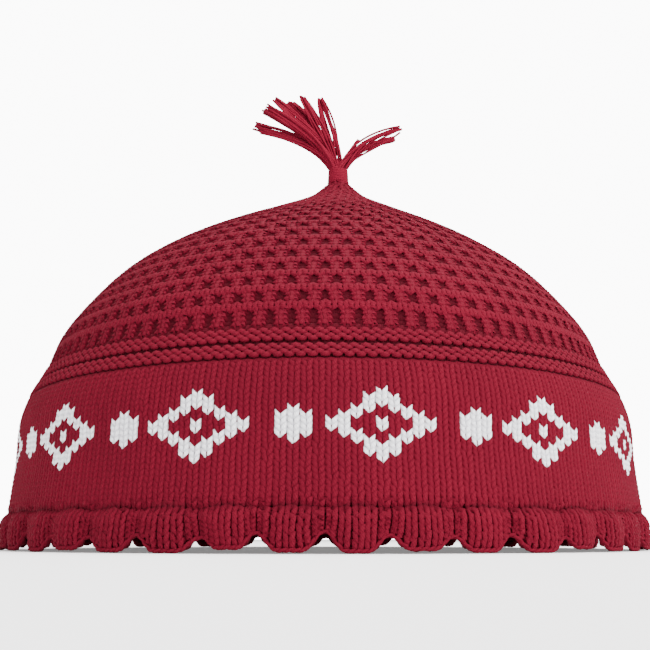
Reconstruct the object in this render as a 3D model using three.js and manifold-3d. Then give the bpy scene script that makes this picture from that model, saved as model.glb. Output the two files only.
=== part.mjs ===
// A knitted skullcap with a ruffled hem and a tassel, resting on its hem with the crown up.
// Units are millimetres. +Z is up, -Y is the front, and the origin is on the surface that the cap
// rests on, under the middle of the band.
//
// The cap is one round wall in five zones, from the hem up: a scalloped ruffle in loose rib, a plain
// knitted band, two rolled ridges, and an openwork crown that is gathered into a small nipple.
// A tassel comes out of the nipple, bound with a few turns of yarn. Zones meet edge to edge.
import * as THREE from "three";
import { mergeVertices } from "three/addons/utils/BufferGeometryUtils.js";
import Module from "manifold-3d";

const wasm = await Module();
wasm.setup();

// Driving dimensions
const seamGap = 0.3; // between two zones, and round the tassel's stem

const hemHeight = 11.5;
const hemWall = 2.8;
const scallopCount = 42;
const scallopNotch = 3.8; // how high the edge rises between two scallops
const scallopPuff = 1.9; // how far a scallop stands out beyond the notches

const bandRadius = 93; // outside, at the band's middle
const bandHeight = 31;
const bandWall = 2.4;

const ridgeHeight = 4.15;
const ridgeRoll = 1; // how far a ridge's roundest place stands out beyond its edges
const ridgeInset = 0.5; // how far the ridges stay back from a line between the walls they join

const crownInset = 6; // how much narrower the crown is than the band
const crownRadius = bandRadius - crownInset; // outside, where the crown leaves the upper ridge
const crownHeight = 70.7; // from the upper ridge to the top of the nipple
const crownWall = 2.2;
const crownLean = 4.5; // the nipple is pulled this far to the right
const leanStart = 0.49; // share of the crown's height where the lean begins
const nippleLip = 1; // least wall round the stem's hole at the top of the nipple

const eyeletWidth = 2;
const eyeletHeight = 3.9;
const eyeletRise = 4.2; // middle of the lowest eyelets above the upper ridge
const eyeletCount = 105;

const stemRadius = 1.7;
const stemTail = 6; // from the top of the nipple down to the knot inside the cap
const stemKnotRadius = 3;
const bindingRadius = 3.4;
const bindingHeight = 4.8;
const tuftRadius = 3; // the bundle of threads just above the binding
const tuftHeight = 5;
const lockSeat = 0.35; // share of the tuft's height where the locks start
const lockLength = 32; // a full lock of the tassel
const lockRoot = 1.1; // a lock's half width at its root, as a share of its width in the table
const lockTip = 0.5; // the same at its tip

const wallColumns = 60; // facets round the band, the ridges and the crown
const scallopColumns = 5; // facets to one scallop
const stemColumns = 12;
const bindingColumns = 16;
const lockSides = 6;
const lockSteps = 3;

// Heights that follow
const bandBase = hemHeight;
const ridgeBase = bandBase + bandHeight;
const crownBase = ridgeBase + 2 * ridgeHeight;
const crownTop = crownBase + crownHeight;

// Colours and finishes
const redYarn = new THREE.MeshStandardMaterial({ color: "#a31a2e", roughness: 0.92, metalness: 0 });
const hemYarn = new THREE.MeshStandardMaterial({ color: "#9c1a2b", roughness: 0.92, metalness: 0 });
const threadYarn = new THREE.MeshStandardMaterial({ color: "#a81f33", roughness: 0.8, metalness: 0 });

// The outside of the band, from its lower edge to the lower ridge, as shares of the band's
// height and radius.
const bandSections = [
  { height: 0, radius: 1.014 },
  { height: 0.4, radius: 1.004 },
  { height: 0.74, radius: 1.002 },
  { height: 1, radius: 0.98 },
];

// The outside of the crown, from the upper ridge to the nipple, as shares of the crown's
// height and radius.
const crownSections = [
  { height: 0, radius: 1 },
  { height: 0.15, radius: 0.955 },
  { height: 0.3, radius: 0.87 },
  { height: 0.437, radius: 0.769 },
  { height: 0.559, radius: 0.637 },
  { height: 0.665, radius: 0.491 },
  { height: 0.77, radius: 0.328 },
  { height: 0.9, radius: 0.135 },
  { height: 1, radius: 0.042 },
];

// The outside of one ridge, as shares of its height and of its roll.
const ridgeSections = [
  { height: 0, behind: 1 },
  { height: 0.28, behind: 0 },
  { height: 0.72, behind: 0 },
  { height: 1, behind: 1 },
];

// The ruffle's section, as shares of its height and of the scallop's puff. The groove under the
// band is where the height is 1.
const hemSections = [
  { height: 0, puff: 0.75 },
  { height: 0.3, puff: 1 },
  { height: 0.72, puff: 0.7 },
  { height: 1, puff: 0 },
];

// The part of a scallop's edge, from its middle, that stays flat on the surface. Beyond it the edge
// rises smoothly to the notch. The puff across a scallop is a cosine to a power.
const archRest = 0.35;
const puffPower = 0.8;

// Six scallops from the middle of the front to the right, as shares of the mean width, of the puff
// and of the notch on their left. The same run is repeated round the cap.
const scallops = [
  { width: 0.95, puff: 0.85, notch: 1.15 },
  { width: 1.02, puff: 1, notch: 0.9 },
  { width: 1, puff: 0.9, notch: 0.85 },
  { width: 1.15, puff: 1.05, notch: 0.95 },
  { width: 0.85, puff: 0.95, notch: 0.8 },
  { width: 1.03, puff: 1.1, notch: 1.05 },
];

// The binding and the tuft above it, as shares of their own height and radius.
const bindingSections = [
  { height: 0, radius: 0.88 },
  { height: 0.25, radius: 1 },
  { height: 0.75, radius: 1 },
  { height: 1, radius: 0.88 },
];
const tuftSections = [
  { height: 0, radius: 0.9 },
  { height: 0.3, radius: 1 },
  { height: 0.7, radius: 0.8 },
  { height: 1, radius: 0 },
];

// The point that a lock's curve bends towards, as shares of the way out to its tip, and its extra
// rise as a share of its length.
const lockBend = { side: 0.32, ahead: 0.5, up: 0.5, rise: 0.14 };

// The tassel's locks. Turn is seen from the front, in degrees from straight up, with + to the right;
// ahead is how far the tip comes to the front, and the rest are shares of the lock length.
const locks = [
  { turn: -61, ahead: 0.16, length: 1, width: 0.055 },
  { turn: -54, ahead: -0.22, length: 1, width: 0.06 },
  { turn: -49, ahead: 0.3, length: 1, width: 0.075 },
  { turn: -43, ahead: -0.3, length: 1.04, width: 0.065 },
  { turn: -35, ahead: 0.12, length: 0.92, width: 0.07 },
  { turn: -28, ahead: -0.16, length: 0.92, width: 0.06 },
  { turn: -14, ahead: 0.24, length: 0.84, width: 0.055 },
  { turn: 32, ahead: -0.2, length: 0.42, width: 0.055 },
  { turn: 54, ahead: 0.18, length: 0.82, width: 0.06 },
  { turn: 62, ahead: -0.18, length: 0.68, width: 0.06 },
];

// A closed mesh with its shared corners merged, as a solid for joining and cutting.
function solidOf(geometry) {
  const bare = geometry.clone();
  bare.deleteAttribute("normal");
  bare.deleteAttribute("uv");
  const merged = mergeVertices(bare, 1e-4);
  return new wasm.Manifold(
    new wasm.Mesh({
      numProp: 3,
      vertProperties: new Float32Array(merged.attributes.position.array),
      triVerts: new Uint32Array(merged.index.array),
    }),
  );
}

function geometryOf(solid) {
  const { vertProperties, triVerts } = solid.getMesh();
  const geometry = new THREE.BufferGeometry();
  geometry.setAttribute("position", new THREE.BufferAttribute(vertProperties, 3));
  geometry.setIndex(new THREE.BufferAttribute(triVerts, 1));
  geometry.computeVertexNormals();
  return geometry;
}

function addPiece(group, name, geometry, material) {
  const mesh = new THREE.Mesh(geometry, material);
  mesh.name = name;
  group.add(mesh);
}

// A wall turned about +Z. The profile is a closed loop of { radius, height, ... }. For each of its
// corners, and the share of the turn from the front to the right, shape gives the corner's radius,
// height, shift to the right and, where the columns aren't evenly spaced, its angle.
function turnedWall(profile, columns, shape) {
  const loop = [...profile, profile[0]];
  const lathe = new THREE.LatheGeometry(
    loop.map(({ radius, height }) => new THREE.Vector2(radius, height)),
    columns,
  );
  const position = lathe.getAttribute("position");
  for (let column = 0; column <= columns; column += 1) {
    const share = (column % columns) / columns;
    loop.forEach((point, row) => {
      const { radius, height, shift = 0, angle = 2 * Math.PI * share } = shape(point, share);
      const x = radius * Math.sin(angle) + shift;
      const y = -radius * Math.cos(angle);
      position.setXYZ(column * loop.length + row, x, y, height);
    });
  }
  return lathe;
}

const asDrawn = (point) => point;

// An outer line and its copy one wall further in, as one closed loop running up the outside and
// down the inside.
function walled(outer, wall) {
  const inner = outer.map((point) => ({ ...point, radius: point.radius - wall }));
  return [...outer, ...inner.reverse()];
}

// The columns of the ruffle: for each, its angle, how far the wall puffs out there, and how far its
// edge is lifted off the surface. A scallop rests on the middle of its edge, and the rest of the
// edge rises in an arch to the notches.
function ruffleColumns() {
  const runWidth = scallops.reduce((sum, { width }) => sum + width, 0);
  const radians = (2 * Math.PI * scallops.length) / (scallopCount * runWidth);
  const columns = [];
  let start = 0;
  for (let index = 0; index < scallopCount; index += 1) {
    const row = scallops[index % scallops.length];
    const next = scallops[(index + 1) % scallops.length];
    for (let step = 0; step < scallopColumns; step += 1) {
      const part = step / scallopColumns;
      const across = Math.abs(2 * part - 1); // 1 is a notch and 0 the middle
      const notch = part < 0.5 ? row.notch : next.notch;
      columns.push({
        angle: start + part * row.width * radians,
        puff: scallopPuff * row.puff * Math.cos((across * Math.PI) / 2) ** puffPower,
        lift: scallopNotch * notch * THREE.MathUtils.smoothstep(across, archRest, 1),
      });
    }
    start += row.width * radians;
  }
  return columns;
}

// The ruffle under the band, with a scalloped edge and a wall that puffs out at each scallop.
function ruffle() {
  const columns = ruffleColumns();
  const topRadius = bandRadius * bandSections[0].radius;
  const outer = hemSections.map((point) => ({ ...point, radius: topRadius }));
  const inner = [outer[0], outer.at(-1)].map((point) => ({ ...point, radius: topRadius - hemWall }));
  return turnedWall([...outer, ...inner.reverse()], columns.length, (point, share) => {
    const { angle, puff, lift } = columns[Math.round(share * columns.length)];
    return {
      angle,
      radius: point.radius + puff * point.puff,
      height: lift * (1 - point.height) + (hemHeight - seamGap) * point.height,
    };
  });
}

function band() {
  const outer = bandSections.map(({ height, radius }) => ({
    radius: radius * bandRadius,
    height: bandBase + (bandHeight - seamGap) * height,
  }));
  return turnedWall(walled(outer, bandWall), wallColumns, asDrawn);
}

// A rolled ridge, from its outside radius at the roundest place and its inside radius at its lower
// and upper edges.
function ridge(base, { outside, insideLow, insideHigh }) {
  const top = base + ridgeHeight - seamGap;
  const outer = ridgeSections.map(({ height, behind }) => ({
    radius: outside - behind * ridgeRoll,
    height: THREE.MathUtils.lerp(base, top, height),
  }));
  const inner = [
    { radius: insideHigh, height: top },
    { radius: insideLow, height: base },
  ];
  return turnedWall([...outer, ...inner], wallColumns, asDrawn);
}

// How far the crown leans to the right at a height, easing in over its top third.
function leanAt(height) {
  const share = THREE.MathUtils.smoothstep(height, crownBase + leanStart * crownHeight, crownTop);
  return crownLean * share;
}

// The crown's outside radius at a height above its base, by straight lines between the sections.
function crownRadiusAt(rise) {
  const share = rise / crownHeight;
  const above = crownSections.findIndex(({ height }) => height > share);
  const [low, high] = [crownSections[above - 1], crownSections[above]];
  const part = (share - low.height) / (high.height - low.height);
  return crownRadius * THREE.MathUtils.lerp(low.radius, high.radius, part);
}

// The openwork crown: a dome with a hole at the nipple for the tassel's stem, and one ring of the
// largest eyelets cut through it above the ridge. The inside is the outside set in by the wall,
// square to the slope.
function crown() {
  const stemHole = stemRadius + seamGap;
  const outer = crownSections.map(({ height, radius }) => ({
    radius: Math.max(radius * crownRadius, stemHole + nippleLip),
    height: crownBase + height * crownHeight,
  }));
  const inner = outer.slice(0, -1).map((point, index) => {
    const next = outer[index + 1];
    const slope = Math.atan2(next.height - point.height, point.radius - next.radius);
    return {
      radius: Math.max(point.radius - crownWall * Math.sin(slope), stemHole),
      height: index === 0 ? point.height : point.height - crownWall * Math.cos(slope),
    };
  });
  inner.push({ radius: stemHole, height: crownTop });
  const dome = turnedWall([...outer, ...inner.reverse()], wallColumns, (point) => ({
    ...point,
    shift: leanAt(point.height),
  }));

  const low = crownRadiusAt(eyeletRise - eyeletHeight / 2);
  const high = crownRadiusAt(eyeletRise + eyeletHeight / 2);
  const eyelet = new THREE.BoxGeometry(eyeletWidth, 3 * crownWall, eyeletHeight);
  eyelet.rotateX(-Math.atan2(low - high, eyeletHeight));
  eyelet.translate(0, (crownWall - low - high) / 2, crownBase + eyeletRise);
  const cutters = [];
  for (let index = 0; index < eyeletCount; index += 1) {
    const cutter = eyelet.clone().rotateZ((index / eyeletCount) * 2 * Math.PI);
    cutters.push(solidOf(cutter));
  }
  return geometryOf(solidOf(dome).subtract(wasm.Manifold.union(cutters)));
}

// Turns of yarn round the tassel's stem, on top of the nipple.
function binding() {
  const base = crownTop + seamGap;
  const inside = stemRadius + seamGap;
  const outer = bindingSections.map(({ height, radius }) => ({
    radius: radius * bindingRadius,
    height: base + height * bindingHeight,
  }));
  const inner = [
    { radius: inside, height: base + bindingHeight },
    { radius: inside, height: base },
  ];
  const profile = [...outer, ...inner];
  return turnedWall(profile, bindingColumns, (point) => ({ ...point, shift: crownLean }));
}

// A tapered lock of threads, bent along a curve from the tuft to its tip.
function lock({ turn, ahead, length, width }, rootHeight) {
  const reach = length * lockLength;
  const side = Math.sin(THREE.MathUtils.degToRad(turn));
  const up = Math.cos(THREE.MathUtils.degToRad(turn));
  const root = new THREE.Vector3(crownLean, 0, rootHeight);
  const tip = new THREE.Vector3(crownLean + side * reach, -ahead * reach, rootHeight + up * reach);
  const bend = new THREE.Vector3(
    crownLean + side * reach * lockBend.side,
    -ahead * reach * lockBend.ahead,
    rootHeight + reach * (lockBend.up * up + lockBend.rise),
  );
  const path = new THREE.QuadraticBezierCurve3(root, bend, tip);
  const rod = new THREE.CylinderGeometry(1, 1, 1, lockSides, lockSteps);
  const position = rod.getAttribute("position");
  const corner = new THREE.Vector3();
  for (let index = 0; index < position.count; index += 1) {
    corner.fromBufferAttribute(position, index);
    const along = corner.y + 0.5;
    const tangent = path.getTangent(along);
    const right = new THREE.Vector3(0, 1, 0).cross(tangent).normalize();
    const front = right.clone().cross(tangent);
    const half = width * lockLength * THREE.MathUtils.lerp(lockRoot, lockTip, along);
    const place = path
      .getPoint(along)
      .addScaledVector(right, corner.x * half)
      .addScaledVector(front, corner.z * half);
    position.setXYZ(index, place.x, place.y, place.z);
  }
  return rod;
}

// The tassel: a knot inside the cap, a stem up through the nipple and the binding, a tuft, and the
// locks that fan out of it.
function tassel() {
  const bindingTop = crownTop + 2 * seamGap + bindingHeight;
  const knotHeight = crownTop - stemTail;
  const stem = [
    new THREE.Vector2(0, knotHeight),
    new THREE.Vector2(stemRadius, knotHeight),
    new THREE.Vector2(stemRadius, bindingTop),
  ];
  const tuft = tuftSections.map(
    ({ height, radius }) => new THREE.Vector2(radius * tuftRadius, bindingTop + height * tuftHeight),
  );
  const turned = new THREE.LatheGeometry([...stem, ...tuft], stemColumns);
  turned.rotateX(Math.PI / 2);
  turned.translate(crownLean, 0, 0);
  const knot = new THREE.SphereGeometry(stemKnotRadius, 10, 6);
  knot.translate(crownLean, 0, knotHeight);
  const pieces = [solidOf(turned), solidOf(knot)];
  for (const row of locks) {
    pieces.push(solidOf(lock(row, bindingTop + tuftHeight * lockSeat)));
  }
  return geometryOf(wasm.Manifold.union(pieces));
}

// The two ridges bridge the step from the band's top edge in to the crown's lower edge.
const bandTopRadius = bandRadius * bandSections.at(-1).radius;
const seamInside = (bandTopRadius - bandWall + crownRadius - crownWall) / 2;
const lowerRidge = {
  outside: bandTopRadius - ridgeInset,
  insideLow: bandTopRadius - bandWall,
  insideHigh: seamInside,
};
const upperRidge = {
  outside: (bandTopRadius + crownRadius) / 2 - 1.5 * ridgeInset,
  insideLow: seamInside,
  insideHigh: crownRadius - crownWall,
};

const cap = new THREE.Group();
addPiece(cap, "ruffled_hem", ruffle(), hemYarn);
addPiece(cap, "band", band(), redYarn);
addPiece(cap, "lower_ridge", ridge(ridgeBase, lowerRidge), redYarn);
addPiece(cap, "upper_ridge", ridge(ridgeBase + ridgeHeight, upperRidge), redYarn);
addPiece(cap, "openwork_crown", crown(), redYarn);
addPiece(cap, "tassel_binding", binding(), threadYarn);
addPiece(cap, "tassel", tassel(), threadYarn);

export default cap;
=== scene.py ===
import math

import bpy
import numpy as np
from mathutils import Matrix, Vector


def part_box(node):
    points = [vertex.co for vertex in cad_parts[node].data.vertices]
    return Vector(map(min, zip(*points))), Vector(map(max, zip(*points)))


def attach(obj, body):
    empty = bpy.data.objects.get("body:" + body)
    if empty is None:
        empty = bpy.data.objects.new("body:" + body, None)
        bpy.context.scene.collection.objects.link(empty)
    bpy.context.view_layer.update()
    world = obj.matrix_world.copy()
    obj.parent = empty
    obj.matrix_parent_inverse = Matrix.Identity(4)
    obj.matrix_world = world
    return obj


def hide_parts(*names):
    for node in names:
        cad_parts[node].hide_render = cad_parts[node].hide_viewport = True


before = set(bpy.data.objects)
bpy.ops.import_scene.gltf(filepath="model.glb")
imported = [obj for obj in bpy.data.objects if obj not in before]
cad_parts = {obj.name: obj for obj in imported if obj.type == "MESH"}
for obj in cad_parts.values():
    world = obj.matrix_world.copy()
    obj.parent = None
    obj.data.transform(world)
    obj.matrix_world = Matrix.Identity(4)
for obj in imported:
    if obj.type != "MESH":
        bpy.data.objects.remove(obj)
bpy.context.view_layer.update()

mm = 0.001


# The camera and the studio. The camera stands close in front of the cap, just above the table,
# and looks a little up, as the photograph does. Its place and lens were fitted to the curves of
# the hem, the band and the ridges.
camera_distance = 285 * mm
camera_height = 3 * mm
camera_pitch = 13.56
lens_length = 49.2

lens = bpy.data.cameras.new("camera")
lens.lens = lens_length
lens.sensor_width = 36
lens.clip_start = 5 * mm
camera = bpy.data.objects.new("camera", lens)
camera.location = (0, -camera_distance, camera_height)
camera.rotation_euler = (math.radians(90 + camera_pitch), 0, 0)
bpy.context.scene.collection.objects.link(camera)
bpy.context.scene.camera = camera


def colour(code):
    """A hex sRGB colour as linear red, green, blue and an alpha of 1: each channel below 0.04045 is
    divided by 12.92, and the others are ((c + 0.055) / 1.055) to the power 2.4."""
    channels = [int(code[i:i + 2], 16) / 255 for i in (1, 3, 5)]
    linear = [c / 12.92 if c <= 0.04045 else ((c + 0.055) / 1.055) ** 2.4 for c in channels]
    return (*linear, 1.0)


def add_node(tree, kind, settings, links):
    """Adds one node, sets its properties and its unlinked sockets, and links its inputs. Settings
    name a property, or a socket by its name or number, and links name a socket and what feeds it."""
    made = tree.nodes.new(kind)
    for key, value in settings.items():
        if isinstance(key, str) and hasattr(made, key):
            setattr(made, key, value)
    for key, value in settings.items():
        if not (isinstance(key, str) and hasattr(made, key)):
            made.inputs[key].default_value = value
    for key, source in links.items():
        tree.links.new(source, made.inputs[key])
    return made


def new_material(name):
    """A new material with an empty tree of nodes. Returns the material and its tree."""
    material = bpy.data.materials.new(name)
    material.use_nodes = True
    material.node_tree.nodes.clear()
    return material, material.node_tree


# The table is a light table of opal acrylic, lit softly from below.
table_glow = 0.25
table_material, tree = new_material("opal_acrylic")
shader = add_node(tree, "ShaderNodeBsdfPrincipled",
                  {"Base Color": colour("#f7f6f6"), "Roughness": 0.7,
                   "Emission Color": colour("#ffffff"), "Emission Strength": table_glow}, {})
add_node(tree, "ShaderNodeOutputMaterial", {}, {"Surface": shader.outputs["BSDF"]})
table_mesh = bpy.data.meshes.new("table")
table_reach = 6.0
table_mesh.from_pydata([(x * table_reach, y * table_reach, 0) for x, y in
                        ((-1, -1), (1, -1), (1, 1), (-1, 1))], [], [(0, 1, 2, 3)])
table_mesh.materials.append(table_material)
table = bpy.data.objects.new("table", table_mesh)
bpy.context.scene.collection.objects.link(table)

# Soft light from all round, and a backdrop that is lit more brightly than the cap, as in a studio.
soft_light = 1.4
backdrop_light = 11.0
world = bpy.data.worlds.new("studio")
world.use_nodes = True
tree = world.node_tree
tree.nodes.clear()
path = add_node(tree, "ShaderNodeLightPath", {}, {})
level = add_node(tree, "ShaderNodeMapRange", {"To Min": soft_light, "To Max": backdrop_light},
                 {"Value": path.outputs["Is Camera Ray"]})
sky = add_node(tree, "ShaderNodeBackground", {"Color": colour("#fffefe")},
               {"Strength": level.outputs["Result"]})
add_node(tree, "ShaderNodeOutputWorld", {}, {"Surface": sky.outputs["Background"]})
bpy.context.scene.world = world

light_aim = np.array([0, 0, 0.06])
studio_lights = [
    {"name": "key", "at": (0.68, -0.62, 0.66), "size": 0.5, "watts": 21},
    {"name": "fill", "at": (-0.8, -0.6, 0.45), "size": 0.8, "watts": 3.6},
    {"name": "top", "at": (0.15, 0.1, 1.1), "size": 0.9, "watts": 21},
]
for row in studio_lights:
    area = bpy.data.lights.new(row["name"], "AREA")
    area.size = row["size"]
    area.energy = row["watts"]
    lamp = bpy.data.objects.new(row["name"], area)
    lamp.location = row["at"]
    aim = light_aim - np.array(row["at"])
    lamp.rotation_euler = (math.atan2(math.hypot(aim[0], aim[1]), -aim[2]),
                           0, math.atan2(aim[1], aim[0]) - math.pi / 2)
    bpy.context.scene.collection.objects.link(lamp)


# The band: plain knit in crimson acrylic yarn, worked in the round on 210 needles at a fine gauge.
# In its middle twelve courses a white yarn makes a pattern of diamonds, and the yarn that isn't in
# use is carried along behind as a float.
band_low, band_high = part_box("band")
crown_low, crown_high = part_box("openwork_crown")
binding_low, binding_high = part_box("tassel_binding")
ridge_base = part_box("lower_ridge")[0].z / mm
lean = (binding_low.x + binding_high.x) / 2 / mm
band_base = band_low.z / mm
band_radius = band_high.x / mm
crown_base, crown_top = crown_low.z / mm, crown_high.z / mm
crown_radius = crown_high.x / mm
wales = 210
band_courses = 23
yarn_width = 1.32
yarn_sides = 5
loop_samples = 8

# The outside of the cap above the hem, as shares of each zone's height and radius.
band_line = [
    {"height": 0.0, "radius": 1.0},
    {"height": 0.4, "radius": 0.990},
    {"height": 0.74, "radius": 0.988},
    {"height": 1.0, "radius": 0.966},
]
crown_line = [
    {"height": 0.0, "radius": 1.0},
    {"height": 0.15, "radius": 0.955},
    {"height": 0.3, "radius": 0.87},
    {"height": 0.437, "radius": 0.769},
    {"height": 0.559, "radius": 0.637},
    {"height": 0.665, "radius": 0.491},
    {"height": 0.77, "radius": 0.328},
    {"height": 0.9, "radius": 0.135},
    {"height": 1.0, "radius": 0.042},
]


def smooth_line(points, steps):
    """A smooth line through points. Between each two it is the Catmull-Rom cubic: half of twice the
    near point, plus the slope to the far one, plus the two bending terms of the four round it."""
    points = np.array(points, float)
    padded = np.vstack([2 * points[0] - points[1], points, 2 * points[-1] - points[-2]])
    place = np.linspace(0, len(points) - 1, steps)
    near = np.minimum(place.astype(int), len(points) - 2)
    t = (place - near)[:, None]
    a, b, c, d = (padded[near + i] for i in range(4))
    bend = (2 * a - 5 * b + 4 * c - d) * t**2 + (3 * b - a - 3 * c + d) * t**3
    return 0.5 * (2 * b + (c - a) * t + bend)


outline = [(band_radius * row["radius"], band_base + row["height"] * (ridge_base - band_base))
           for row in band_line]
outline += [(crown_radius * row["radius"], crown_base + row["height"] * (crown_top - crown_base))
            for row in crown_line]
wall_points = 1200
lean_from = 0.49
wall_line = smooth_line(outline, wall_points)
wall_step = np.diff(wall_line, axis=0)
wall_reach = np.concatenate([[0], np.cumsum(np.hypot(wall_step[:, 0], wall_step[:, 1]))])
wall_slope = np.gradient(wall_line, wall_reach, axis=0)
lean_start = crown_base + lean_from * (crown_top - crown_base)
ridge_start = np.interp(ridge_base, wall_line[:, 1], wall_reach)
crown_start = np.interp(crown_base, wall_line[:, 1], wall_reach)


def on_wall(turn, reach, out):
    """Places in mm on the cap's wall: turn is the angle from the front to the right, reach the
    length up along the wall from the band's lower edge, and out the distance outwards, square to
    the wall. Towards the top the places shift right by the lean, times a smooth step over the
    height. Returns the places and the outward directions."""
    radius = np.interp(reach, wall_reach, wall_line[:, 0])
    height = np.interp(reach, wall_reach, wall_line[:, 1]) + np.maximum(reach - wall_reach[-1], 0)
    rise = np.interp(reach, wall_reach, wall_slope[:, 1])
    inset = -np.interp(reach, wall_reach, wall_slope[:, 0])
    share = np.clip((height - lean_start) / (crown_top - lean_start), 0, 1)
    shift = lean * share**2 * (3 - 2 * share)
    far = radius + out * rise
    places = np.stack([far * np.sin(turn) + shift, -far * np.cos(turn), height + out * inset], -1)
    outward = np.stack([rise * np.sin(turn), -rise * np.cos(turn), inset], -1)
    return places, outward


def loop_course(count, samples, tall, slant, deep, share=1.0, sink=0.0):
    """One course of knitted loops. Over each stitch t runs from 0 to 2 pi. Across the stitch, the
    yarn goes along by t / 2 pi plus slant times sin 2t, which makes a loop wider at its head than
    at its neck, and the whole is share of the stitch's width. Its height is -tall cos t and its
    depth -deep cos 2t, so the legs lie in front and the head and feet behind. Between stitches, at
    the feet, it sinks by sink times the cube of cos t. Also returns how far behind each place is,
    from 0 to 1, and that cube."""
    whole = share == 1.0
    t = 2 * np.pi * np.arange(samples) / (samples if whole else samples - 1)
    across = 0.5 + share * (t / (2 * np.pi) - 0.5 + slant * np.sin(2 * t))
    along = (np.arange(count)[:, None] + across).ravel()
    foot = np.clip(np.cos(t), 0, 1) ** 3
    rows = -tall * np.cos(t), -deep * np.cos(2 * t) - sink * foot, 0.5 + 0.5 * np.cos(2 * t), foot
    return along, *(np.tile(row, count) for row in rows)


def yarn_mesh(name, runs, width, sides, flatten, material):
    """Tubes of yarn along closed or open runs of places. Round each place stands a ring of corners:
    half the width times the cosine along the outward direction, flattened, and the sine along the
    cross product of the run and that direction, and widened as much. An open run is closed by a cap
    at each end. UV runs once round the yarn, and along it by its length in widths. The attribute
    shade holds the painted shade of each place, greater where it lies deeper in the cloth."""
    corners, faces, uvs, caps, shades = [], [], [], [], []
    base = 0
    angles = (np.arange(sides) + 0.5) / sides * 2 * np.pi
    for run in runs:
        places, outward, closed = run["places"], run["outward"], run["closed"]
        count = len(places)
        along = np.roll(places, -1, 0) - np.roll(places, 1, 0) if closed else np.gradient(places, axis=0)
        along /= np.linalg.norm(along, axis=1, keepdims=True)
        front = outward - (outward * along).sum(1, keepdims=True) * along
        front /= np.linalg.norm(front, axis=1, keepdims=True)
        side = np.cross(along, front)
        half = np.broadcast_to(np.asarray(run.get("width", width)) / 2, (count,))[:, None, None]
        ring = places[:, None] + half * (flatten * np.cos(angles)[None, :, None] * front[:, None]
                                         + np.sin(angles)[None, :, None] * side[:, None] / flatten)
        corners.append(ring.reshape(-1, 3))
        shades.append(np.repeat(np.broadcast_to(run.get("shade", 0.0), (count,)), sides))
        last = count if closed else count - 1
        i, j = np.arange(last)[:, None], np.arange(sides)[None, :]
        after, beside = (i + 1) % count, (j + 1) % sides
        quads = np.stack([i * sides + j, i * sides + beside,
                          after * sides + beside, after * sides + j], -1)
        faces.append(quads.reshape(-1, 4) + base)
        steps = np.linalg.norm(np.roll(places, -1, 0) - places, axis=1)[:last]
        length = np.concatenate([[0], np.cumsum(steps)]) / width
        low = np.broadcast_to(length[:-1, None], (last, sides))
        high = np.broadcast_to(length[1:, None], (last, sides))
        left = np.broadcast_to(j / sides, (last, sides))
        right = left + 1 / sides
        uvs.append(np.stack([left, low, right, low, right, high, left, high], -1).reshape(-1, 2))
        if not closed:
            caps.append((base + np.arange(sides)[::-1]).tolist())
            caps.append((base + (count - 1) * sides + np.arange(sides)).tolist())
        base += count * sides
    corners = np.concatenate(corners) * mm
    faces = np.concatenate(faces)
    mesh = bpy.data.meshes.new(name)
    mesh.from_pydata(corners.tolist(), [], faces.tolist() + caps)
    smooth = np.ones(len(faces) + len(caps), bool)
    smooth[len(faces):] = False
    mesh.polygons.foreach_set("use_smooth", smooth)
    layer = mesh.uv_layers.new(name="yarn")
    uv = np.zeros((len(mesh.loops), 2), np.float32)
    uv[:4 * len(faces)] = np.concatenate(uvs)
    layer.data.foreach_set("uv", uv.ravel())
    shade = mesh.attributes.new("shade", "FLOAT", "POINT")
    shade.data.foreach_set("value", np.concatenate(shades).astype(np.float32))
    mesh.materials.append(material)
    mesh.update()
    piece = bpy.data.objects.new(name, mesh)
    bpy.context.scene.collection.objects.link(piece)
    return piece


ply_repeat = (3.0, 1.6, 1.0)
ply_groove = 0.45
# How much painted shade falls in the grooves between the plies.
ply_groove_painted_shade = 0.3
fibre_repeat = (14.0, 3.0, 1.0)
fibre_share = 0.5
drift_size = 50 / 3 * mm
bump_height = 0.2 * mm


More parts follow.
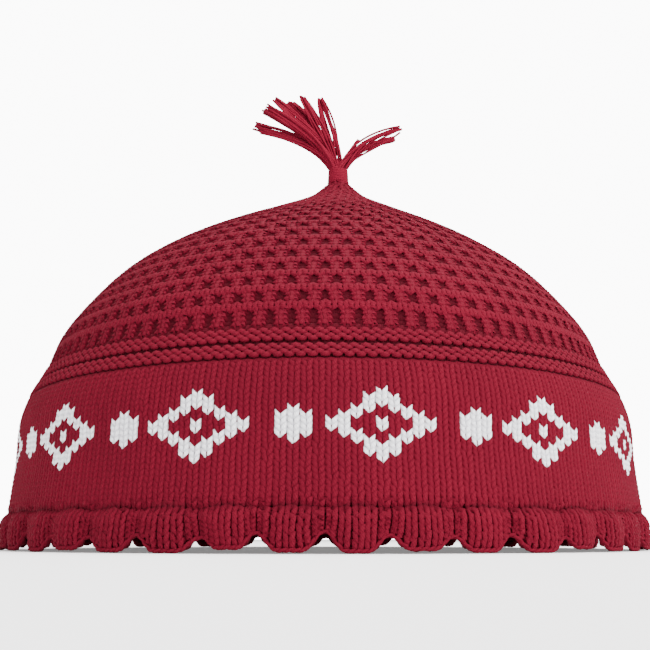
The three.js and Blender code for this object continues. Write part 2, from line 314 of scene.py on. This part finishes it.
def yarn_material(name, light, mid, painted_shade_colour, sheen):
    """Soft acrylic yarn, spun of a few plies. The plies wind round the yarn as slanting stripes on
    its UV, with painted shade in the grooves between them, the fibres are fine noise stretched along
    it, and the tone drifts over the cloth at random by slow noise on Object coordinates. Yarn that
    lies deep in the cloth gets painted shade, mixed towards the shade colour by the attribute shade."""
    material, tree = new_material(name)
    uv = add_node(tree, "ShaderNodeUVMap", {"uv_map": "yarn"}, {})
    place = add_node(tree, "ShaderNodeTexCoord", {}, {})
    plies = add_node(tree, "ShaderNodeMapping", {"Scale": ply_repeat}, {"Vector": uv.outputs["UV"]})
    twist = add_node(tree, "ShaderNodeTexWave",
                     {"wave_type": "BANDS", "bands_direction": "DIAGONAL", "Scale": 1.0,
                      "Distortion": 0.6, "Detail": 1.0},
                     {"Vector": plies.outputs["Vector"]})
    fibre_place = add_node(tree, "ShaderNodeMapping", {"Scale": fibre_repeat},
                           {"Vector": uv.outputs["UV"]})
    fibres = add_node(tree, "ShaderNodeTexNoise", {"Scale": 1.0, "Detail": 3.0},
                      {"Vector": fibre_place.outputs["Vector"]})
    drift = add_node(tree, "ShaderNodeTexNoise", {"Scale": 1 / drift_size, "Detail": 4.0},
                     {"Vector": place.outputs["Object"]})
    shade = add_node(tree, "ShaderNodeMix", {"data_type": "RGBA", 6: colour(mid), 7: colour(light)},
                     {0: drift.outputs["Fac"]})
    # Painted shade in the grooves between the plies.
    groove = add_node(tree, "ShaderNodeMapRange",
                      {"From Min": 0.0, "From Max": ply_groove, "To Min": ply_groove_painted_shade, "To Max": 0.0},
                      {"Value": twist.outputs["Fac"]})
    deep = add_node(tree, "ShaderNodeMix", {"data_type": "RGBA", 7: colour(painted_shade_colour)},
                    {0: groove.outputs["Result"], 6: shade.outputs[2]})
    # Painted shade on yarn that lies deep in the cloth, by the attribute shade.
    depth = add_node(tree, "ShaderNodeAttribute", {"attribute_name": "shade"}, {})
    painted_depth_shade = add_node(tree, "ShaderNodeMix", {"data_type": "RGBA", 7: colour(painted_shade_colour)},
                     {0: depth.outputs["Fac"], 6: deep.outputs[2]})
    height = add_node(tree, "ShaderNodeMath", {"operation": "MULTIPLY_ADD", 1: fibre_share},
                      {0: fibres.outputs["Fac"], 2: twist.outputs["Fac"]})
    bump = add_node(tree, "ShaderNodeBump", {"Strength": 0.4, "Distance": bump_height},
                    {"Height": height.outputs["Value"]})
    shader = add_node(tree, "ShaderNodeBsdfPrincipled",
                      {"Roughness": 0.9, "Specular IOR Level": 0.05, "Sheen Weight": sheen,
                       "Sheen Roughness": 0.5, "Sheen Tint": colour(light)},
                      {"Base Color": painted_depth_shade.outputs[2], "Normal": bump.outputs["Normal"]})
    add_node(tree, "ShaderNodeOutputMaterial", {}, {"Surface": shader.outputs["BSDF"]})
    return material


# Each yarn's colours: a lighter and a middle tone that drift at random, the colour of its painted shade,
# and its sheen.
crimson_yarn = yarn_material("crimson_acrylic_yarn", "#650f21", "#570c1c", "#30060e", 0.01)
white_yarn = yarn_material("white_acrylic_yarn", "#fafafc", "#f1f0f4", "#77727f", 0.1)

# One repeat of the pattern, a mark for each stitch, its lowest course last.
diamond_chart = [
    "....#..........",
    "...###.........",
    "...###.........",
    "..##.##.....#..",
    ".##...##...###.",
    "##..#..##..###.",
    "##..#..##..###.",
    ".##...##...###.",
    "..##.##.....#..",
    "...###.........",
    "...###.........",
    "....#..........",
]
pattern_start = 6
groove_tall = 0.5
course_rise = (ridge_start - groove_tall) / band_courses
loop_tall = 1.02
loop_slant = 0.25
loop_deep = 0.28
loop_swell = 0.1
yarn_inset = 0.45
wall_depth = loop_deep + yarn_inset * yarn_width
float_depth = 0.9
float_level = 0.6
# Painted shade on the floats behind the cloth.
float_shade = 0.6
stitch_unevenness = 0.035
# Painted shade on the heads and feet of the crimson and of the white stitches.
crimson_painted_shade = 0.25
white_painted_shade = 0.85
white_width = 1.08
rng = np.random.default_rng(4)


def knit_course(reach, in_use, thick, most_painted_shade):
    """One closed yarn round the band, thick mm wide: loops at the stitches that in_use marks, and
    between them a float that lies behind the cloth, of which one place for each stitch is kept.
    The stitches differ a little in their places. Their heads and feet, which lie behind, get painted
    shade, and so do the floats."""
    along, up, out, behind, _ = loop_course(wales, loop_samples, loop_tall, loop_slant, loop_deep)
    used = np.repeat(in_use, loop_samples)
    straight = np.arange(wales * loop_samples) / loop_samples
    uneven = stitch_unevenness * rng.standard_normal((2, wales))
    middle = np.arange(wales) + 0.5
    along = along + np.interp(along, middle, uneven[0], period=wales)
    level = reach + np.interp(along, middle, uneven[1], period=wales)
    away = np.interp(straight, middle, np.where(in_use, 0.0, 1.0), period=wales)
    along = np.where(used, along, straight)
    up = np.where(used, up, -loop_tall * float_level)
    out = np.where(used, out, -loop_deep - float_depth * away)
    keep = used | (np.arange(wales * loop_samples) % loop_samples == 0)
    places, outward = on_wall(along[keep] * 2 * np.pi / wales, (level + up)[keep],
                              out[keep] - wall_depth)
    width = thick * (1 + loop_swell * (2 * behind[keep] - 1))
    return {"places": places, "outward": outward, "closed": True, "width": width,
            "shade": np.where(used, most_painted_shade * behind, float_shade)[keep]}


repeats = wales // len(diamond_chart[0])
plain, ground, motif = [], [], []
for course in range(band_courses):
    reach = (course + 0.5) * course_rise
    row = len(diamond_chart) - 1 - (course - pattern_start)
    if 0 <= row < len(diamond_chart):
        white = np.array([mark == "#" for mark in diamond_chart[row]] * repeats)
        ground.append(knit_course(reach, ~white, yarn_width, crimson_painted_shade))
        motif.append(knit_course(reach, white, white_width, white_painted_shade))
    else:
        plain.append(knit_course(reach, np.ones(wales, bool), yarn_width, crimson_painted_shade))

yarn_flatten = 0.76
plain_knit = yarn_mesh("band_plain_courses", plain, yarn_width, yarn_sides, yarn_flatten,
                       crimson_yarn)
ground_knit = yarn_mesh("band_pattern_ground", ground, yarn_width, yarn_sides, yarn_flatten,
                        crimson_yarn)
motif_knit = yarn_mesh("band_white_diamonds", motif, yarn_width, yarn_sides, yarn_flatten,
                       white_yarn)
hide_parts("band")
for piece, slot in ((plain_knit, "crimson_yarn"), (ground_knit, "crimson_yarn"),
                    (motif_knit, "white_yarn")):
    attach(piece, "root")


# The two ridges: each shows two courses knitted with the wrong side out, whose heads and feet make
# rows of small bumps, and their legs get painted shade. Behind them, under each ridge and over the
# upper one, courses lie deep in the cloth and get painted shade, which show as darker grooves.
purl_tall = 0.42
purl_slant = 0.12
purl_deep = 0.13
purl_width = 1.55
purl_sides = 4
purl_inset = 0.4
# Painted shade on the purl loops' legs, which lie behind the bumps.
purl_shade = 0.25
purl_unevenness = 0.05
# Each course: its share of the ridge's height, how much it waves, its recess, its painted shade, its
# width and its samples.
ridge_courses = [
    {"share": 0.07, "wave": 0.25, "recess": 1.2, "shade": 0.9, "width": 2.8, "samples": 4},
    {"share": 0.35, "wave": 1.0, "recess": 0.0, "shade": 0.0, "width": 1.55, "samples": 8},
    {"share": 0.54, "wave": 0.0, "recess": 1.2, "shade": 0.6, "width": 2.6, "samples": 2},
    {"share": 0.73, "wave": 1.0, "recess": 0.0, "shade": 0.0, "width": 1.55, "samples": 8},
    {"share": 1.05, "wave": 0.25, "recess": 1.0, "shade": 0.6, "width": 2.6, "samples": 4},
]
ridge_rise = (crown_start - ridge_start) / 2
for step, name in enumerate(("lower_ridge", "upper_ridge")):
    runs = []
    for row in ridge_courses if name == "upper_ridge" else ridge_courses[:-1]:
        along, up, out, behind, _ = loop_course(wales, row["samples"], purl_tall * row["wave"],
                                                purl_slant * row["wave"], -purl_deep)
        uneven = purl_unevenness * rng.standard_normal(wales)
        along = along + np.interp(along, np.arange(wales), uneven, period=wales)
        places, outward = on_wall(along * 2 * np.pi / wales,
                                  ridge_start + (step + row["share"]) * ridge_rise + up,
                                  out - purl_deep - purl_inset * purl_width - row["recess"])
        runs.append({"places": places, "outward": outward, "closed": True, "width": row["width"],
                     "shade": np.maximum(purl_shade * (1 - behind), row["shade"])})
    piece = yarn_mesh(name + "_knit", runs, purl_width, purl_sides, 1.0, crimson_yarn)
    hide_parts(name)
    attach(piece, "root")


# The crown: an openwork dome of 21 rows. Each row is a ring of columns one stitch wide, with an
# eyelet between each two that bars of yarn cross behind, and the next row's columns stand over the
# eyelets, on a plain course. Along five lines to the top each row loses one column.
wedges = 5
edge_columns = 21
row_courses = 4
column_samples = 8
column_width = 3.9
column_gain = 0.014
column_tall = 0.95
column_slant = 0.18
column_foot_slant = 0.26
column_deep = 0.2
crown_yarn_width = 1.45
bar_sink = 0.6
bar_lifts = (0.8, 0.8, 0.9, 1.15)
bar_swell = 0.35
# Painted shade on the bars that cross the eyelets, and on the columns' heads and feet.
bar_shade = 0.75
bar_full_gap = 0.2
head_shade = 0.1
plain_samples = 6
plain_tall = 0.92
plain_shift = 0.25
crown_unevenness = 0.03
closed_rows = 3
closed_share = 0.97
crown_sides = 4
top_overlap = 0.8
wall_end = wall_reach[-1] + top_overlap
row_rise = (wall_end - crown_start) / edge_columns
crown_runs = []
for row in range(edge_columns):
    per_wedge = edge_columns - row
    count = wedges * per_wedge
    for course in range(row_courses):
        reach = crown_start + (row + (course + 0.5) / row_courses) * row_rise
        radius = np.interp(reach, wall_reach, wall_line[:, 0])
        share = min(column_width / (2 * np.pi * radius / count) + column_gain * row, closed_share)
        if row >= edge_columns - closed_rows:
            share = closed_share
        open_part = min((1 - share) / bar_full_gap, 1.0)
        uneven = crown_unevenness * rng.standard_normal(count)
        if row > 0 and course == 0:
            open_part = 0.0
            along, up, out, behind, foot = loop_course(2 * count, plain_samples, plain_tall,
                                                       column_slant, column_deep)
            along = along / 2 + plain_shift
        else:
            slant = column_slant if course else column_foot_slant
            along, up, out, behind, foot = loop_course(count, column_samples, column_tall, slant,
                                                       column_deep, share, bar_sink * open_part)
        along = along + np.interp(along, np.arange(count) + 0.5, uneven, period=count)
        turn = (along + 0.5 * (per_wedge % 2)) * 2 * np.pi / count
        bar = open_part * foot
        lift = bar_lifts[course] * bar
        places, outward = on_wall(turn, reach + up + lift, out - wall_depth)
        swell = 1 + loop_swell * (2 * behind - 1) + bar_swell * bar
        # The bars and the columns' heads and feet get painted shade.
        crown_runs.append({"places": places, "outward": outward, "closed": True, "row": row,
                           "width": crown_yarn_width * swell,
                           "shade": np.maximum(head_shade * behind, bar_shade * bar)})
crown_parts = [
    {"name": "crown_lower_rows", "first": 0, "end": 5},
    {"name": "crown_middle_rows", "first": 5, "end": 11},
    {"name": "crown_upper_rows", "first": 11, "end": edge_columns},
]
for part in crown_parts:
    runs = [run for run in crown_runs if part["first"] <= run["row"] < part["end"]]
    piece = yarn_mesh(part["name"], runs, crown_yarn_width, crown_sides, yarn_flatten, crimson_yarn)
    if part["first"] == 0:
        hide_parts("openwork_crown")
    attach(piece, "root")


# The ruffled hem: a loose rib under the band that springs out into scallops, each five ribs wide,
# that rest on their middles and lift to a notch at each side. Purl loops lie behind the ribs, the
# seam over each scallop is drawn up into a small arch, and a cast-off chain finishes the edge.
scallops = 42
ribs = wales // scallops
scallop_run = [
    {"width": 0.95, "puff": 0.85, "notch": 1.15, "rest": 0.0},
    {"width": 1.02, "puff": 1.0, "notch": 0.9, "rest": 0.5},
    {"width": 1.0, "puff": 0.9, "notch": 0.85, "rest": 0.1},
    {"width": 1.15, "puff": 1.05, "notch": 0.95, "rest": 0.0},
    {"width": 0.85, "puff": 0.95, "notch": 0.8, "rest": 0.8},
    {"width": 1.03, "puff": 1.1, "notch": 1.05, "rest": 0.2},
]
notch_height = 3.8
notch_start = 0.35
puff_out = 2.5
arch_rise = 1.6
groove_level = 0.8
groove_deep = 0.8
groove_spread = 0.06
puff_least = 0.4
swell_line = [
    {"share": 0.0, "swell": 0.75},
    {"share": 0.3, "swell": 1.0},
    {"share": 0.6, "swell": 0.9},
    {"share": groove_level, "swell": 0.35},
    {"share": 1.0, "swell": 0.0},
]


def round_hem(column):
    """One column of the table of scallops, repeated all round the hem."""
    return np.array([row[column] for row in scallop_run] * (scallops // len(scallop_run)))


widths, puffs, notches, rests = (round_hem(name) for name in ("width", "puff", "notch", "rest"))
starts = np.concatenate([[0], np.cumsum(widths)]) / widths.sum() * 2 * np.pi
swell_shares, swells = ([row[name] for row in swell_line] for name in ("share", "swell"))


def on_hem(scallop, level, out):
    """Places in mm on the hem: scallop counts scallops from the front to the right, level is the
    height over the hem's edge, and out the distance outwards. The edge lifts by the notch height
    times a smooth step of the distance from the scallop's middle, and by the scallop's rest in its
    middle. The wall puffs out by a constant plus a cosine across the scallop, times the swell line
    over the height, up to an arched groove under the band: a bell curve of the height. Returns the
    places, the outward directions and that curve."""
    number = np.floor(scallop).astype(int) % scallops
    across = np.abs(2 * (scallop % 1.0) - 1)
    even = scallop / scallops * 2 * np.pi
    uneven = (np.interp(scallop % scallops, np.arange(scallops + 1), starts)
              + 2 * np.pi * (scallop // scallops))
    share = np.clip(level / band_base, 0, 1)
    turn = uneven + (even - uneven) * share
    step = np.clip((across - notch_start) / (1 - notch_start), 0, 1)
    depth = np.where(scallop % 1.0 < 0.5, notches[number], notches[(number + 1) % scallops])
    lift = notch_height * depth * step**2 * (3 - 2 * step) + rests[number] * (1 - across**2)
    full = puff_least + (1 - puff_least) * np.cos(across * np.pi / 2)
    swell = np.interp(share, swell_shares, swells)
    groove = np.exp(-((share - groove_level) / groove_spread) ** 2)
    arch = arch_rise * (0.5 - across**2) * np.clip(share / groove_level, 0, 1) ** 2
    height = level + lift * (1 - share) + arch
    radius = band_radius + puff_out * puffs[number] * full * swell - groove_deep * groove + out
    places = np.stack([radius * np.sin(turn), -radius * np.cos(turn), height], -1)
    outward = np.stack([np.sin(turn), -np.cos(turn), np.zeros_like(turn)], -1)
    return places, outward, groove


hem_courses = 7
hem_share = 0.96
hem_slant = 0.2
hem_samples = 9
hem_tall = 1.05
hem_sink = 0.35
hem_sides = 4
hem_edge = 0.6
hem_start = hem_edge + 0.4
# Painted shade: on the rib loops' heads and feet, and, more, in the arched groove under the band and at
# the feet of stitches picked at random.
hem_head_shade = 0.15
hem_painted_shade = 0.6
drift_kept = 0.8
drift_step = 0.045
slack_rise = 0.3
slack_sink = 0.3
purl_levels = (1.5, 2.7, 3.9, 5.1, 6.3, 7.5)
purl_sink = 0.7
purl_steps = 10
purl_back_width = 1.3
purl_back_shade = 0.5
hem_runs = []
drift = np.zeros(wales)
for course in range(hem_courses):
    along, up, out, behind, foot = loop_course(wales, hem_samples, hem_tall, hem_slant, loop_deep,
                                               hem_share, hem_sink)
    level = hem_start + (course + 0.5) * (band_base - hem_start) / hem_courses
    drift = drift_kept * drift + drift_step * rng.standard_normal(wales)
    loose, slack = rng.uniform(0, 1, (2, wales))
    middle = np.arange(wales) + 0.5
    along = along + np.interp(along, middle, drift, period=wales)
    up = up + np.interp(along, middle, slack_rise * slack - slack_rise / 2, period=wales)
    out = out - np.interp(along, middle, slack_sink * slack, period=wales)
    # Painted shade spots at the feet of stitches picked at random.
    painted_shade_dots = foot * np.interp(along, np.arange(wales), loose**2, period=wales)
    places, outward, groove = on_hem(along / ribs, level + up, out - wall_depth)
    hem_runs.append({"places": places, "outward": outward, "closed": True,
                     "width": yarn_width * (1 + loop_swell * (2 * behind - 1)),
                     "shade": np.maximum(hem_head_shade * behind,
                                         hem_painted_shade * np.maximum(painted_shade_dots, groove))})
# Purl loops behind the ribs, with painted shade.
for level in purl_levels:
    places, outward, _ = on_hem(np.arange(scallops * purl_steps) / purl_steps, level,
                                -wall_depth - purl_sink)
    hem_runs.append({"places": places, "outward": outward, "closed": True,
                     "width": purl_back_width, "shade": purl_back_shade})
hem_knit = yarn_mesh("hem_rib_knit", hem_runs, yarn_width, hem_sides, yarn_flatten, crimson_yarn)
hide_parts("ruffled_hem")

edge_width = 0.9
edge_wind = 0.25
edge_steps = 5
edge_runs = []
for strand in (0, 1):
    step = np.arange(wales * edge_steps) / edge_steps
    wind = 2 * np.pi * step + np.pi * strand
    places, outward, _ = on_hem(step / ribs, hem_edge + edge_wind * np.sin(wind),
                                edge_wind * np.cos(wind) - wall_depth)
    edge_runs.append({"places": places, "outward": outward, "closed": True})
hem_edging = yarn_mesh("hem_cast_off_edge", edge_runs, edge_width, hem_sides, 1.0, crimson_yarn)
for piece in (hem_knit, hem_edging):
    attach(piece, "root")


# The binding: a finer thread wound round the tassel's neck, on top of the nipple, in close turns
# that don't lie quite level.
thread_width = 0.75
binding_sides = 6
binding_flatten = 0.9
binding_tuck = 1.0
girth_inset = 0.1
girth_taper = 0.08
turn_steps = 24
turn_sway = 0.15
sway_start = 1.0
binding_base, binding_top = binding_low.z / mm, binding_high.z / mm
neck_radius = (binding_high.x - binding_low.x) / 2 / mm
turns = 9
t = np.linspace(0, 1, turns * turn_steps)
spin = 2 * np.pi * turns * t
girth = (neck_radius - girth_inset) * (1 - girth_taper * t**2)
winding_start = binding_base - binding_tuck
level = winding_start + t * (binding_top - winding_start - thread_width / 2)
level = level + turn_sway * np.sin(spin + sway_start)
binding_places = np.stack([lean + girth * np.sin(spin), -girth * np.cos(spin), level], -1)
binding_outward = np.stack([np.sin(spin), -np.cos(spin), np.zeros_like(spin)], -1)
# The thread's colours; the third is the colour of its painted shade.
crimson_thread = yarn_material("crimson_soft_thread", "#7c182c", "#6c1225", "#3c0913", 0.05)
binding_run = {"places": binding_places, "outward": binding_outward, "closed": False}
binding = yarn_mesh("binding_thread", [binding_run], thread_width, binding_sides, binding_flatten,
                    crimson_thread)
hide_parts("tassel_binding")
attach(binding, "root")


# The tassel: cut threads that come up through the neck and fan out in bundles, most of them to the
# left and a smaller lot to the right. Each bundle opens in the middle and comes together at its tip.
# One thick core stands for the threads that fill the neck inside the binding, and gets painted shade.
tassel_width = 0.74
tassel_sides = 5
lock_length = 32.0
root_rise = 0.3
root_height = binding_top + root_rise
root_radius = 1.8
neck_depth = 3.0
core_width = 4.6
# Painted shade on the core.
core_shade = 0.8
core_drop = 0.6
core_points = 3
thread_points = 14
thread_front = [0.0, -1.0, 0.2]
tassel_locks = [
    {"turn": -64.0, "ahead": 0.12, "length": 0.91, "open": 4.0, "threads": 9},
    {"turn": -56.0, "ahead": -0.2, "length": 1.09, "open": 7.0, "threads": 13},
    {"turn": -52.0, "ahead": 0.28, "length": 0.945, "open": 7.0, "threads": 14},
    {"turn": -46.5, "ahead": -0.12, "length": 1.11, "open": 8.0, "threads": 13},
    {"turn": -43.5, "ahead": 0.22, "length": 0.97, "open": 8.0, "threads": 12},
    {"turn": -36.0, "ahead": 0.05, "length": 0.92, "open": 8.0, "threads": 13},
    {"turn": -30.0, "ahead": -0.2, "length": 1.0, "open": 9.0, "threads": 14},
    {"turn": -26.5, "ahead": 0.2, "length": 0.85, "open": 9.0, "threads": 12},
    {"turn": -14.0, "ahead": 0.1, "length": 0.81, "open": 13.0, "threads": 13},
    {"turn": 32.0, "ahead": -0.1, "length": 0.42, "open": 5.0, "threads": 6},
    {"turn": 58.0, "ahead": 0.12, "length": 0.79, "open": 13.0, "threads": 12},
    {"turn": 57.0, "ahead": -0.15, "length": 0.73, "open": 8.0, "threads": 12},
]
# How far the threads of a bundle differ from each other, and the form of their bend: how far along
# its middle lies, how far the thread rises first, and how much it springs out at its root.
length_spread = 0.03
turn_spread = 1.8
ahead_spread = 0.04
belly_spread = 0.4
bend_turn = 0.82
bend_reach = 0.62
bend_ahead = 0.6
bend_spread = 1.5
rise_reach = 0.2
rise_lean = 0.1
rise_out = 1.2

core_heights = np.linspace(binding_base, root_height - core_drop, core_points)
core_places = np.stack([np.full(core_points, lean), np.zeros(core_points), core_heights], -1)
thread_runs = [{"places": core_places, "outward": np.tile(thread_front, (core_points, 1)),
                "closed": False, "width": core_width, "shade": core_shade}]
for row in tassel_locks:
    for thread in range(row["threads"]):
        side, ahead, far, belly, ring, spread = rng.uniform(-1, 1, 6)
        reach = lock_length * row["length"] * (1 + length_spread * far)
        angle = math.radians(row["turn"] + turn_spread * side)
        forward = -(row["ahead"] + ahead_spread * ahead) * reach
        root_turn = np.pi * ring
        root_out = root_radius * math.sqrt(abs(spread))
        start = np.array([lean + root_out * math.sin(root_turn), -root_out * math.cos(root_turn),
                          root_height - neck_depth])
        tip = np.array([lean + math.sin(angle) * reach, forward,
                        root_height + math.cos(angle) * reach])
        open_angle = math.radians(row["turn"] * bend_turn
                                  + row["open"] * (side + belly_spread * belly))
        bend = np.array([lean + bend_reach * math.sin(open_angle) * reach,
                         bend_ahead * forward + bend_spread * ahead,
                         root_height + reach * bend_reach * math.cos(open_angle)])
        rise = start + np.array([rise_lean * reach * math.sin(angle) + rise_out * math.sin(root_turn),
                                 rise_lean * forward - rise_out * math.cos(root_turn),
                                 neck_depth + rise_reach * reach])
        t = np.linspace(0, 1, thread_points)[:, None]
        places = ((1 - t)**3 * start + 3 * (1 - t)**2 * t * rise + 3 * (1 - t) * t**2 * bend
                  + t**3 * tip)
        thread_runs.append({"places": places, "outward": np.tile(thread_front, (thread_points, 1)),
                            "closed": False})
tassel = yarn_mesh("tassel_threads", thread_runs, tassel_width, tassel_sides, 1.0, crimson_thread)
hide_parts("tassel")
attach(tassel, "root")
